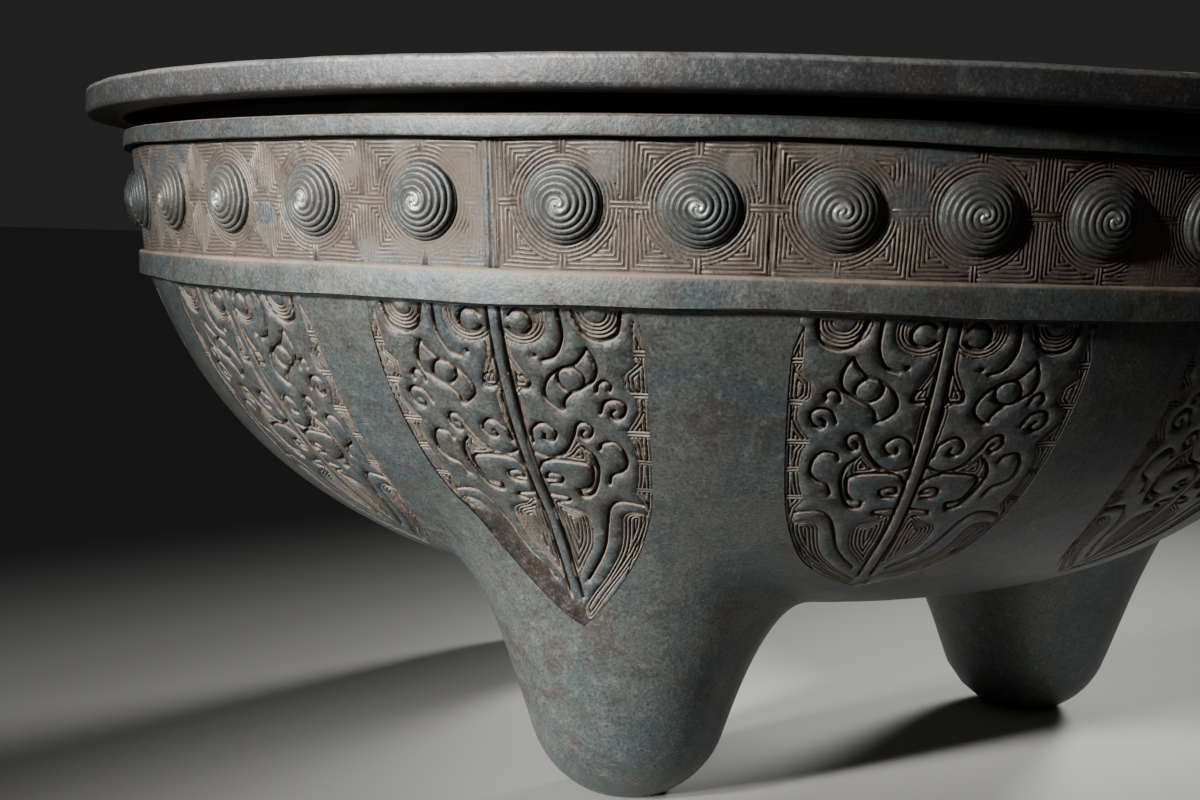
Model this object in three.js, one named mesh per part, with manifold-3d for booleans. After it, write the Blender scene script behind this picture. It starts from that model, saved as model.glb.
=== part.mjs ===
// A bronze ding: a wide, shallow, round vessel cast in one piece with its three rounded feet.
// Millimetres, +Z up, with the origin on the floor under the middle of the bowl.
// An azimuth is an angle in degrees round the vessel, from -Y towards +X. One foot stands at azimuth 0.

import * as THREE from 'three';
import { mergeVertices } from 'three/addons/utils/BufferGeometryUtils.js';
import Module from 'manifold-3d';

// Driving sizes, from the rim down
const HEIGHT = 275;
const RIM = { radius: 300, mouthRadius: 264, thickness: 11, edge: 1.5 };
const NECK = { radius: 272, height: 6 };
const UPPER_FLANGE = { radius: 285, height: 7 };
const BAND = { topRadius: 281, bottomRadius: 276, height: 42 };
const LOWER_FLANGE = { radius: 278, height: 11 };
const WALL = { topRadius: 273, arcRadius: 192, arcOffset: 93, bottomAngle: 10, thickness: 6 };
const FOOT = {
  count: 3,
  axisRadius: 141,
  floorRadius: 30.2,
  slope: 0.344,
  noseDepth: 4,
  blend: 40,
  reach: 100,
};

// The room inside: its arc's end, the corner behind the band and the flatter middle of its bottom
const ROOM = { arcEnd: 68, bandCorner: 4, neckGap: 1, bottomRadius: 60, wallSteps: 7 };

// The band's whorl bosses
const BOSS = { radius: 13, height: 5.8, sides: 7 };

// A boss's rounded shoulder, as shares of its radius and height, and how deep it is rooted
const SHOULDER = { radius: 0.62, height: 0.72, root: 3 };

// The bosses of each third of the band: how many, the first one's azimuth after the foot's axis and the pitch
const BOSS_RUNS = [
  { count: 13, first: 5.5, pitch: 8.95 },
  { count: 13, first: 5.5, pitch: 8.95 },
  { count: 12, first: 6.85, pitch: 9.85 },
];

// The hanging blades: their mid-ribs' azimuths in each third, and one blade's outline
const BLADE_AZIMUTHS = [0, 31.6, 62, 92.3];
const BLADE = {
  length: 143,
  top: 2.5,
  halfAngle: 10.7,
  taperStart: 0.3,
  taperPower: 3,
  tipRadius: 190,
  radiusPower: 1.5,
};

// The sunk ground in each half of a blade, beside its rib
const GROUND = { rib: 1.6, depth: 1.8, tipGap: 5 };

// The slanted eye that stands in each half, as [distance from the rib, distance down the wall]
const EYE = [[16, 40], [19, 22], [31, 13], [28, 33]];

// How finely the round surfaces are faceted
const COLUMNS = 60;
const INSIDE_COLUMNS = 36;
const STEEP_ROWS = 3;
const STEEP_POWER = 1.6;
const PLAN_ROWS = 12;
const BLADE_ROWS = 4;

// Heights over the floor, worked out from the sizes above
const rimUnderside = HEIGHT - RIM.thickness;
const upperFlangeTop = rimUnderside - NECK.height;
const bandTop = upperFlangeTop - UPPER_FLANGE.height;
const bandBottom = bandTop - BAND.height;
const wallTop = bandBottom - LOWER_FLANGE.height;
const arcHeight = wallTop + Math.sqrt(WALL.arcRadius ** 2 - (WALL.topRadius - WALL.arcOffset) ** 2);

const radians = THREE.MathUtils.degToRad;

const wasm = await Module();
wasm.setup();

// The solid of a closed geometry, ready for joins and cuts
function solid(geometry) {
  geometry.deleteAttribute('normal');
  geometry.deleteAttribute('uv');
  const merged = mergeVertices(geometry, 1e-3);
  const vertProperties = merged.attributes.position.array;
  const triVerts = new Uint32Array(merged.index.array);
  return new wasm.Manifold(new wasm.Mesh({ numProp: 3, vertProperties, triVerts }));
}

// The drawable geometry of a solid
function geometryOf(made) {
  const mesh = made.getMesh();
  const geometry = new THREE.BufferGeometry();
  geometry.setAttribute('position', new THREE.BufferAttribute(mesh.vertProperties, 3));
  geometry.setIndex(new THREE.BufferAttribute(mesh.triVerts, 1));
  return geometry;
}

function indexedGeometry(points, triangles) {
  const geometry = new THREE.BufferGeometry().setFromPoints(points);
  geometry.setIndex(triangles.flat());
  return geometry;
}

function roundPoint(azimuth, radius, z) {
  const angle = radians(azimuth);
  return new THREE.Vector3(radius * Math.sin(angle), -radius * Math.cos(angle), z);
}

// Height of a bowl made of a side arc and a flatter bottom arc, at a distance from the axis
function bowlHeight(radius, arcRadius) {
  const turn = radians(WALL.bottomAngle);
  const joinRadius = WALL.arcOffset + arcRadius * Math.sin(turn);
  if (radius >= joinRadius) {
    return arcHeight - Math.sqrt(Math.max(arcRadius ** 2 - (radius - WALL.arcOffset) ** 2, 0));
  }
  const bottomRadius = joinRadius / Math.sin(turn);
  const bottomCentre = arcHeight - arcRadius * Math.cos(turn) + bottomRadius * Math.cos(turn);
  return bottomCentre - Math.sqrt(bottomRadius ** 2 - radius ** 2);
}

// Height of a foot's skin at a distance from its axis: a round nose that turns into a cone
function footHeight(distance) {
  const cos = 1 / Math.hypot(1, FOOT.slope);
  const sin = FOOT.slope * cos;
  const noseRadius = (FOOT.floorRadius * cos - FOOT.noseDepth * sin) / (1 - sin);
  if (distance < noseRadius * cos) {
    return noseRadius - FOOT.noseDepth - Math.sqrt(noseRadius ** 2 - distance ** 2);
  }
  return (distance - FOOT.floorRadius) / FOOT.slope;
}

// The lower of two heights, rounded where they meet
function blended(a, b, size) {
  const share = Math.max(size - Math.abs(a - b), 0) / size;
  return Math.min(a, b) - (share ** 2 * size) / 4;
}

const footAzimuths = Array.from({ length: FOOT.count }, (_, i) => (360 / FOOT.count) * i);
const footAxes = footAzimuths.map((azimuth) => roundPoint(azimuth, FOOT.axisRadius, 0));

// Height of the vessel's plain outer skin below the lower flange, with the feet flowing out of the bowl
function skinHeight(x, y) {
  const bowl = bowlHeight(Math.hypot(x, y), WALL.arcRadius);
  return footAxes.reduce(
    (height, axis) => blended(height, footHeight(Math.hypot(x - axis.x, y - axis.y)), FOOT.blend),
    bowl,
  );
}

// A foot's plan distances, spaced so that equal steps are equal steps along its skin
function footSpacing() {
  const level = bowlHeight(FOOT.axisRadius, WALL.arcRadius);
  const lengths = [0];
  for (let distance = 1; distance <= FOOT.reach; distance += 1) {
    const before = blended(level, footHeight(distance - 1), FOOT.blend);
    const after = blended(level, footHeight(distance), FOOT.blend);
    lengths.push(lengths[distance - 1] + Math.hypot(1, after - before));
  }
  return (distance) => {
    const wanted = (distance / FOOT.reach) * lengths[FOOT.reach];
    const next = Math.max(lengths.findIndex((length) => length >= wanted), 1);
    return next - (lengths[next] - wanted) / (lengths[next] - lengths[next - 1]);
  };
}

const spacedDistance = footSpacing();

// Draws the facets' corners together on the steep sides of the nearest foot
function drawnToFoot(point) {
  for (const axis of footAxes) {
    const distance = Math.hypot(point.x - axis.x, point.y - axis.y);
    if (distance > 0 && distance < FOOT.reach) {
      const factor = spacedDistance(distance) / distance;
      point.x = axis.x + (point.x - axis.x) * factor;
      point.y = axis.y + (point.y - axis.y) * factor;
    }
  }
  return point;
}

// The rings of the outer form from the rim's top to the wall, as [radius, height]
function upperRings() {
  const { radius, edge } = RIM;
  return [
    [radius - edge, HEIGHT],
    [radius, HEIGHT - edge],
    [radius, rimUnderside + edge],
    [radius - edge, rimUnderside],
    [NECK.radius, rimUnderside],
    [NECK.radius, upperFlangeTop],
    [UPPER_FLANGE.radius, upperFlangeTop],
    [UPPER_FLANGE.radius, bandTop],
    [BAND.topRadius, bandTop],
    [BAND.bottomRadius, bandBottom],
    [LOWER_FLANGE.radius, bandBottom],
    [LOWER_FLANGE.radius, wallTop],
    [WALL.topRadius, wallTop],
  ];
}

// The distances from the axis of the rings below: three steep ones, then evenly spaced ones
function lowerRadii() {
  const planStart = 240;
  const planEnd = 75;
  const innermost = 45;
  const steep = Array.from({ length: STEEP_ROWS }, (_, i) =>
    THREE.MathUtils.lerp(WALL.topRadius, planStart, ((i + 1) / STEEP_ROWS) ** STEEP_POWER),
  );
  const even = Array.from({ length: PLAN_ROWS }, (_, i) =>
    THREE.MathUtils.lerp(planStart, planEnd, (i + 1) / PLAN_ROWS),
  );
  return [...steep, ...even, innermost];
}

function lowerRing(radius) {
  return Array.from({ length: COLUMNS }, (_, column) => {
    const point = drawnToFoot(roundPoint((360 / COLUMNS) * column, radius, 0));
    point.z = skinHeight(point.x, point.y);
    return point;
  });
}

// The vessel's outer form as if it were full: rings of points between a top and a bottom pole
function outerForm() {
  const rings = [
    ...upperRings().map(([radius, z]) =>
      Array.from({ length: COLUMNS }, (_, column) => roundPoint((360 / COLUMNS) * column, radius, z)),
    ),
    ...lowerRadii().map(lowerRing),
  ];
  const topPole = new THREE.Vector3(0, 0, HEIGHT);
  const points = [topPole, ...rings.flat(), new THREE.Vector3(0, 0, skinHeight(0, 0))];
  const bottomPole = points.length - 1;
  const corner = (ring, column) => 1 + ring * COLUMNS + (column % COLUMNS);
  const triangles = [];
  for (let column = 0; column < COLUMNS; column += 1) {
    triangles.push([0, corner(0, column), corner(0, column + 1)]);
    triangles.push([bottomPole, corner(rings.length - 1, column + 1), corner(rings.length - 1, column)]);
    for (let ring = 0; ring < rings.length - 1; ring += 1) {
      const [a, b] = [corner(ring, column), corner(ring, column + 1)];
      const [c, d] = [corner(ring + 1, column), corner(ring + 1, column + 1)];
      triangles.push([a, c, b], [b, c, d]);
    }
  }
  return solid(indexedGeometry(points, triangles));
}

// The room inside, which keeps the wall's thickness under the plain wall and the bottom
function hollow() {
  const insideArc = WALL.arcRadius - WALL.thickness;
  const above = 20;
  const rounded = Array.from({ length: ROOM.wallSteps + 1 }, (_, i) => {
    const angle = radians(THREE.MathUtils.lerp(WALL.bottomAngle, ROOM.arcEnd, i / ROOM.wallSteps));
    const radius = WALL.arcOffset + insideArc * Math.sin(angle);
    return new THREE.Vector2(radius, arcHeight - insideArc * Math.cos(angle));
  });
  const profile = [
    new THREE.Vector2(0, bowlHeight(0, insideArc)),
    new THREE.Vector2(ROOM.bottomRadius, bowlHeight(ROOM.bottomRadius, insideArc)),
    ...rounded,
    new THREE.Vector2(BAND.bottomRadius - WALL.thickness, bandBottom + ROOM.bandCorner),
    new THREE.Vector2(NECK.radius - ROOM.neckGap, bandTop),
    new THREE.Vector2(RIM.mouthRadius, rimUnderside),
    new THREE.Vector2(RIM.mouthRadius, HEIGHT + above),
    new THREE.Vector2(0, HEIGHT + above),
  ];
  return solid(new THREE.LatheGeometry(profile, INSIDE_COLUMNS).rotateX(Math.PI / 2));
}

// One whorl boss on the band, square to the band's slope
function boss(azimuth) {
  const { radius, height, sides } = BOSS;
  const profile = [
    [0, -SHOULDER.root],
    [radius, -SHOULDER.root],
    [radius, 0],
    [radius * SHOULDER.radius, height * SHOULDER.height],
    [0, height],
  ].map(([x, y]) => new THREE.Vector2(x, y));
  const lean = Math.atan2(BAND.topRadius - BAND.bottomRadius, BAND.height);
  const outward = roundPoint(azimuth, Math.cos(lean), -Math.sin(lean));
  const middle = roundPoint(azimuth, (BAND.topRadius + BAND.bottomRadius) / 2, (bandTop + bandBottom) / 2);
  const turn = new THREE.Quaternion().setFromUnitVectors(new THREE.Vector3(0, 1, 0), outward);
  const geometry = new THREE.LatheGeometry(profile, sides).applyQuaternion(turn);
  return solid(geometry.translate(middle.x, middle.y, middle.z));
}

// Places (across, down, lift) on the skin: millimetres from the blade's rib, down the wall and out of it
function bladePlacer(azimuth) {
  const turn = 0.2;
  const step = 0.5;
  const radii = [WALL.topRadius];
  const lengths = [0];
  const skinAt = (angle, radius) => {
    const point = roundPoint(angle, radius, 0);
    return point.setZ(skinHeight(point.x, point.y));
  };
  while (lengths.at(-1) < BLADE.length) {
    const last = radii.at(-1);
    const stretch = skinAt(azimuth, last).distanceTo(skinAt(azimuth, last - 1));
    radii.push(last - 1);
    lengths.push(lengths.at(-1) + stretch);
  }
  const radiusAt = (down) => {
    const next = Math.max(lengths.findIndex((length) => length >= down), 1);
    return radii[next] + (lengths[next] - down) / (lengths[next] - lengths[next - 1]);
  };
  return (across, down, lift) => {
    const radius = radiusAt(down);
    const angle = azimuth + THREE.MathUtils.radToDeg(across / radius);
    const point = skinAt(angle, radius);
    const sideways = skinAt(angle + turn, radius).sub(skinAt(angle - turn, radius));
    const upwards = skinAt(angle, radius + step).sub(skinAt(angle, radius - step));
    return point.addScaledVector(sideways.cross(upwards).normalize(), lift);
  };
}

// Half the blade's width at a distance down the wall, in millimetres
function bladeHalfWidth(down) {
  const along = Math.max(down / BLADE.length - BLADE.taperStart, 0) / (1 - BLADE.taperStart);
  const share = (down / BLADE.length) ** BLADE.radiusPower;
  const radius = THREE.MathUtils.lerp(WALL.topRadius, BLADE.tipRadius, share);
  return radians(BLADE.halfAngle) * radius * (1 - along ** BLADE.taperPower);
}

// A closed slab bent to the wall, from rows of points across it, between two lifts
function bentSlab(rows, place, low, high) {
  const width = rows[0].length;
  const layers = [high, low].map((lift) => rows.flat().map(([across, down]) => place(across, down, lift)));
  const under = rows.length * width;
  const triangles = [];
  const quad = (a, b, c, d) => triangles.push([a, b, c], [a, c, d]);
  for (let row = 0; row < rows.length - 1; row += 1) {
    const [start, next] = [row * width, (row + 1) * width];
    for (let i = 0; i < width - 1; i += 1) {
      quad(start + i, next + i, next + i + 1, start + i + 1);
      quad(under + start + i, under + start + i + 1, under + next + i + 1, under + next + i);
    }
    quad(start, under + start, under + next, next);
    quad(next + width - 1, under + next + width - 1, under + start + width - 1, start + width - 1);
  }
  const last = (rows.length - 1) * width;
  for (let i = 0; i < width - 1; i += 1) {
    quad(i + 1, under + i + 1, under + i, i);
    quad(last + i, under + last + i, under + last + i + 1, last + i + 1);
  }
  return solid(indexedGeometry(layers.flat(), triangles));
}

// A closed prism bent to the wall from an outline of [across, down] points
function bentPrism(outline, place, low, high) {
  const flat = outline.map(([across, down]) => new THREE.Vector2(across, -down));
  if (THREE.ShapeUtils.isClockWise(flat)) {
    flat.reverse();
  }
  const count = flat.length;
  const points = [high, low].flatMap((lift) => flat.map(({ x, y }) => place(x, -y, lift)));
  const caps = THREE.ShapeUtils.triangulateShape(flat, []).flatMap(([a, b, c]) => [
    [a, b, c],
    [count + c, count + b, count + a],
  ]);
  const sides = flat.flatMap((_, i) => {
    const next = (i + 1) % count;
    return [
      [i, count + i, next],
      [next, count + i, count + next],
    ];
  });
  return solid(indexedGeometry(points, [...caps, ...sides]));
}

// The sunk ground of a blade's half, without the eye that stands in it; side is 1 or -1
function bladeGround(place, side) {
  const cutHigh = 2.5;
  const eyeReach = 3.5;
  const rows = Array.from({ length: BLADE_ROWS + 1 }, (_, i) => {
    const down = THREE.MathUtils.lerp(BLADE.top, BLADE.length - GROUND.tipGap, i / BLADE_ROWS);
    const edge = Math.max(bladeHalfWidth(down), GROUND.rib + 1);
    const ends = [[GROUND.rib * side, down], [edge * side, down]];
    return side > 0 ? ends : ends.reverse();
  });
  const eye = EYE.map(([across, down]) => [across * side, down]);
  const ground = bentSlab(rows, place, -GROUND.depth, cutHigh);
  return ground.subtract(bentPrism(eye, place, -eyeReach, eyeReach));
}

// Everything below the floor, which cuts each foot's nose flat
function belowFloor() {
  const depth = 20;
  return solid(new THREE.BoxGeometry(3 * RIM.radius, 3 * RIM.radius, depth).translate(0, 0, -depth / 2));
}

function vessel() {
  const bosses = BOSS_RUNS.flatMap(({ count, first, pitch }, third) =>
    Array.from({ length: count }, (_, i) => boss(footAzimuths[third] + first + pitch * i)),
  );
  const grounds = footAzimuths.flatMap((start) =>
    BLADE_AZIMUTHS.flatMap((azimuth) => {
      const place = bladePlacer(start + azimuth);
      return [bladeGround(place, -1), bladeGround(place, 1)];
    }),
  );
  const plain = outerForm().subtract(hollow()).subtract(belowFloor());
  const embossed = bosses.reduce((body, shape) => body.add(shape), plain);
  return grounds.reduce((body, ground) => body.subtract(ground), embossed);
}

const bronze = new THREE.MeshStandardMaterial({
  color: 0x5c625c,
  roughness: 0.55,
  metalness: 0.6,
  flatShading: true,
});

const body = new THREE.Mesh(geometryOf(vessel()), bronze);
body.name = 'ding_vessel';

const ding = new THREE.Group();
ding.add(body);

export default ding;
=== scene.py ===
"""A bronze ding: its cast relief, wear and patina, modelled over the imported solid.

Sizes are in millimetres and become metres as each mesh is written.
An azimuth is an angle in degrees round the vessel, from -Y towards +X. One foot stands at azimuth 0.
"""

import math

import bpy
import numpy as np
from mathutils import Matrix, Vector


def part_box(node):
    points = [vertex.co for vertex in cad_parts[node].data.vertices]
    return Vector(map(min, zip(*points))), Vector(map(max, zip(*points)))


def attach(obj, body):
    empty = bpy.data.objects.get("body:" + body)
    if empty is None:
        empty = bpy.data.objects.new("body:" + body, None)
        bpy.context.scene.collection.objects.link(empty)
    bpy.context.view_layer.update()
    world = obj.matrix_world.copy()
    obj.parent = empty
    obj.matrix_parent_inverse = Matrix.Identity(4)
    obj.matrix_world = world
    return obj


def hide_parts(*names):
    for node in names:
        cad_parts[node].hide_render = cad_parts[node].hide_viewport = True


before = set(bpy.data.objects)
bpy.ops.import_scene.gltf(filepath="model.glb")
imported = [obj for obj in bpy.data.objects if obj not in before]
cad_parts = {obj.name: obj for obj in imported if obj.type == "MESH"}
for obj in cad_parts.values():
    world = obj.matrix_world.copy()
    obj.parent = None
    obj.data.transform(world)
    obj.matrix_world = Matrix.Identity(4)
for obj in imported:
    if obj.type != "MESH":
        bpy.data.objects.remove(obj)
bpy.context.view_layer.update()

MM = 0.001
THIRD = 120

# Sizes of the frame's one solid
vessel_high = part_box("ding_vessel")[1]
HEIGHT = round(vessel_high.z / MM, 3)
RIM_RADIUS = round(vessel_high.x / MM, 3)

# Profile of the vessel, from the rim down
MOUTH_RADIUS = 264
RIM_THICKNESS = 11
NECK_RADIUS = 272
NECK_HEIGHT = 6
UPPER_FLANGE_RADIUS = 285
UPPER_FLANGE_HEIGHT = 7
BAND_TOP_RADIUS = 281
BAND_BOTTOM_RADIUS = 276
BAND_HEIGHT = 42
LOWER_FLANGE_RADIUS = 278
LOWER_FLANGE_HEIGHT = 11
WALL_RADIUS = 273
WALL_THICKNESS = 6
ARC_RADIUS = 192
ARC_OFFSET = 93
BOTTOM_ANGLE = 10
INNER_ARC_END = 68
BODY_COLUMNS = 300

RIM_UNDERSIDE = HEIGHT - RIM_THICKNESS
UPPER_FLANGE_TOP = RIM_UNDERSIDE - NECK_HEIGHT
BAND_TOP = UPPER_FLANGE_TOP - UPPER_FLANGE_HEIGHT
BAND_BOTTOM = BAND_TOP - BAND_HEIGHT
WALL_TOP = BAND_BOTTOM - LOWER_FLANGE_HEIGHT
ARC_HEIGHT = WALL_TOP + math.sqrt(ARC_RADIUS**2 - (WALL_RADIUS - ARC_OFFSET) ** 2)

# Feet, which flow out of the bowl
FOOT_AXIS_RADIUS = 141
FOOT_FLOOR_RADIUS = 30.2
FOOT_SLOPE = 0.344
FOOT_NOSE_DEPTH = 4
FOOT_BLEND = 40
FOOT_REACH = 100

# Band of whorl bosses
BOSS_RADIUS = 13
BOSS_HEIGHT = 5.8
BOSS_ROUNDNESS = 0.66
WHORL_PITCH = 2.3
WHORL_DEPTH = 0.75
WHORL_ARMS = 2
BAND_MIDDLE_RADIUS = (BAND_TOP_RADIUS + BAND_BOTTOM_RADIUS) / 2
BAND_LEAN = math.atan2(BAND_TOP_RADIUS - BAND_BOTTOM_RADIUS, BAND_HEIGHT)
CELL_HALF_HEIGHT = BAND_HEIGHT / 2
BAND_MIDDLE_HEIGHT = (BAND_TOP + BAND_BOTTOM) / 2
LINE_PITCH = 1.4
LINE_DEPTH = 0.6
CIRCLES = 4
BAND_START = 0.75
SEAM_AZIMUTH = 120.15
GROUND_STEP = 0.34
GROUND_TRIANGLES = 76000

# The bosses of a third of the band: how many, the first one's azimuth after the foot's axis and their pitch.
# The crack's azimuth follows, and the spots rubbed smooth: azimuth, height over the band's middle and size.
FRONT_RUN = {
    "count": 13, "first": 5.5, "pitch": 8.95, "crack": 19.1,
    "worn": [(8.3, 14, 8), (16.8, 13, 7), (27.4, 4, 11), (45, -9, 8), (70, 6, 12), (96, 12, 9)],
}
LEFT_RUN = {
    "count": 12, "first": 6.85, "pitch": 9.85, "crack": 31,
    "worn": [(118, 12, 9), (109, 11, 7), (100, -4, 6), (81, 12, 8), (52, 4, 11), (20, -8, 8)],
}

# Hanging blades: their mid-ribs' azimuths in each third
BLADE_AZIMUTHS = [0, 31.6, 62, 92.3]
BLADE_TOP = 1.5
BLADE_LENGTH = 143
TIP_LEAN = 4
BLADE_SINK = 2.6
CUT_WIDTH = 1.9
CUT_DEPTH = 1.9
GROUND_DEPTH = 1.35
CREST_DEPTH = 0.3
FACE_DEPTH = 0.12
FINE_PITCH = 1.35
CURVE_STEPS = 5
BLADE_STEP = 0.33
BLADE_TRIANGLES = 38000

# Camera, as the photograph was taken: millimetres, radians and the frame's own turn
CAMERA_DISTANCE = 814.3
CAMERA_HEIGHT = 220
CAMERA_YAW = -0.0859
CAMERA_PITCH = -0.0945
CAMERA_ROLL = 0.0288
CAMERA_AZIMUTH = 18
LENS = 51.78
SENSOR = 36
LIGHT_DISTANCE = 1600

# The floor's width in metres, and its distance under the feet
FLOOR_SIZE = 80
FLOOR_GAP = 0.5

# Lights: name, azimuth, elevation, what it is aimed at (azimuth, radius, height), size, power and spread
LIGHTS = [
    ("key_light", -26, 18, (-10, 270, 246), 200, 0.95, 17),
    ("foot_light", -30, 7, (-3, 165, 50), 140, 0.28, 12),
    ("back_light", 170, 14, (170, 200, 200), 400, 1.7, 26),
]

# Finishes: earth in the hollows, dark grime and painted shade at their bottoms, colours of the patina that
# differ from its own, colours that the second_patina mask brings, and the strength of the bumps. A colour is
# its red, green and blue.
GREY = (0.5, 0.5, 0.5)
FINISHES = {
    "wall_bronze": {
        "earth": (0.32, 0.24, 0.18), "grime_and_shade": (0.03, 0.028, 0.025),
        "second": {"Green": (0.077, 0.072, 0.07), "Blue": (0.062, 0.063, 0.066)},
    },
    "relief_bronze": {
        "earth": (0.27, 0.21, 0.16), "grime_and_shade": (0.028, 0.023, 0.019), "bump": 0.45,
        "patina": {"Green": (0.088, 0.093, 0.085), "Blue": (0.066, 0.082, 0.086)},
        "second": {
            "Green": (0.04, 0.031, 0.025), "Blue": (0.03, 0.025, 0.022),
            "Brown": (0.02, 0.016, 0.013), "Pale": (0.16, 0.125, 0.10),
        },
    },
    "boss_bronze": {
        "earth": (0.13, 0.112, 0.095), "grime_and_shade": (0.035, 0.03, 0.026),
        "patina": {"Green": (0.115, 0.118, 0.106)},
    },
    "band_bronze": {
        "earth": (0.15, 0.115, 0.085), "grime_and_shade": (0.075, 0.056, 0.045),
        "patina": {
            "Green": (0.165, 0.135, 0.112), "Blue": (0.128, 0.117, 0.106),
            "Brown": (0.12, 0.09, 0.07), "Pale": (0.23, 0.19, 0.155),
        },
        "second": {
            "Green": (0.125, 0.125, 0.118), "Blue": (0.095, 0.115, 0.122), "Brown": (0.11, 0.095, 0.085),
        },
    },
}

# A circle on which the noise that runs round the vessel is read
EDGE_CIRCLE = 120

# Whole numbers that scramble a cell's place
CELL_PRIMES = (73856093, 19349663, 83492791)
SEED_PRIME = 2654435761
SCRAMBLE = 1274126177


# Shared making


def deselect_all():
    bpy.ops.object.select_all(action="DESELECT")


def new_object(name, data):
    """An object in the scene that shows some data."""
    made = bpy.data.objects.new(name, data)
    bpy.context.scene.collection.objects.link(made)
    return made


def activate(piece):
    deselect_all()
    piece.select_set(True)
    bpy.context.view_layer.objects.active = piece


def in_edit_mode(piece, work, chosen=None):
    """Runs work on a piece in edit mode, with all of it selected or the vertices that a mask chooses."""
    activate(piece)
    bpy.ops.object.mode_set(mode="EDIT")
    bpy.ops.mesh.select_mode(type="VERT")
    bpy.ops.mesh.select_all(action="SELECT" if chosen is None else "DESELECT")
    if chosen is not None:
        bpy.ops.object.mode_set(mode="OBJECT")
        piece.data.vertices.foreach_set("select", chosen)
        bpy.ops.object.mode_set(mode="EDIT")
    work()
    bpy.ops.object.mode_set(mode="OBJECT")


def points_of(piece):
    """A mesh's vertices, in millimetres."""
    flat = np.empty(len(piece.data.vertices) * 3, np.float32)
    piece.data.vertices.foreach_get("co", flat)
    return flat.reshape(-1, 3).astype(float) / MM


def move_points(piece, points):
    """Puts a mesh's vertices at points given in millimetres."""
    piece.data.vertices.foreach_set("co", (points * MM).astype(np.float32).ravel())
    piece.data.update()


def apply_modifier(piece, kind, **settings):
    activate(piece)
    modifier = piece.modifiers.new(kind.lower(), kind)
    for name, value in settings.items():
        setattr(modifier, name, value)
    bpy.ops.object.modifier_apply(modifier=modifier.name)


def thin_out(piece, triangles):
    """Brings a mesh down to about a number of triangles, keeping its shape."""
    in_edit_mode(piece, lambda: bpy.ops.mesh.quads_convert_to_tris())
    share = triangles / len(piece.data.polygons)
    if share < 1:
        apply_modifier(piece, "DECIMATE", ratio=share)


def copy_of(piece, name):
    return new_object(name, piece.data.copy())


def joined(pieces, name):
    deselect_all()
    for piece in pieces:
        piece.select_set(True)
    bpy.context.view_layer.objects.active = pieces[0]
    bpy.ops.object.join()
    pieces[0].name = name
    pieces[0].data.name = name
    return pieces[0]


def flat_grid(name, low, high, step):
    """A grid in the XY plane between two corners, facing +Z."""
    size = np.subtract(high, low)
    cells = np.round(size / step).astype(int)
    bpy.ops.mesh.primitive_grid_add(x_subdivisions=int(cells[0]), y_subdivisions=int(cells[1]), size=MM)
    piece = bpy.context.object
    piece.name = name
    points = points_of(piece)
    points[:, :2] = np.add(low, (points[:, :2] + 0.5) * size)
    move_points(piece, points)
    return piece


def outline_of(name, profile):
    """A line of vertices through (radius, height) points, in the XZ plane."""
    mesh = bpy.data.meshes.new(name)
    points = [(radius * MM, 0, height * MM) for radius, height in profile]
    mesh.from_pydata(points, [(i, i + 1) for i in range(len(points) - 1)], [])
    return new_object(name, mesh)


def set_mask(piece, name, values):
    """Keeps a number from 0 to 1 for each vertex, which the materials read."""
    attribute = piece.data.attributes.new(name, "FLOAT", "POINT")
    attribute.data.foreach_set("value", np.clip(values, 0, 1).astype(np.float32))


def smoothstep(low, high, value):
    share = np.clip((value - low) / (high - low), 0, 1)
    return share * share * (3 - 2 * share)


def running_total(steps):
    """Totals of a list of lengths, from 0 before the first one."""
    return np.concatenate([[0], np.cumsum(steps)])


def sheet_points(across, along):
    """Points on a flat sheet, where the unevenness of a bent surface is read."""
    return np.stack([across, along, np.zeros_like(along)], axis=-1)


# Unevenness that is the same on each run


def cell_value(cells, seed):
    """A number from 0 to 1 for each whole-number cell."""
    mixed = (seed + 1) * SEED_PRIME
    for axis, prime in enumerate(CELL_PRIMES):
        mixed = mixed ^ cells[..., axis] * prime
    mixed = (mixed ^ (mixed >> 13)) * SCRAMBLE
    return ((mixed ^ (mixed >> 16)) & 0xFFFF) / 0xFFFF


def unevenness(points, size, seed=0):
    """Smooth bumps from -1 to 1 over points, each about as wide as size."""
    scaled = np.asarray(points, float) / size
    base = np.floor(scaled).astype(np.int64)
    share = scaled - base
    share = share * share * (3 - 2 * share)
    total = np.zeros(len(scaled))
    for corner in np.ndindex(2, 2, 2):
        weight = np.prod(np.where(corner, share, 1 - share), axis=-1)
        total += weight * cell_value(base + np.array(corner), seed)
    return 2 * total - 1


# The vessel's own surfaces


def around(azimuth, radius, height):
    angle = np.radians(azimuth)
    return np.stack(np.broadcast_arrays(radius * np.sin(angle), -radius * np.cos(angle), height), axis=-1)


def azimuth_of(points):
    return np.degrees(np.arctan2(points[:, 0], -points[:, 1]))


def bowl_height(radius, arc_radius):
    """Height of a bowl made of a side arc and a flatter bottom arc, at a distance from the axis."""
    turn = math.radians(BOTTOM_ANGLE)
    join_radius = ARC_OFFSET + arc_radius * math.sin(turn)
    bottom_radius = join_radius / math.sin(turn)
    centre = ARC_HEIGHT + (bottom_radius - arc_radius) * math.cos(turn)
    side = ARC_HEIGHT - np.sqrt(np.maximum(arc_radius**2 - (radius - ARC_OFFSET) ** 2, 0))
    bottom = centre - np.sqrt(np.maximum(bottom_radius**2 - radius**2, 0))
    return np.where(radius >= join_radius, side, bottom)


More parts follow.
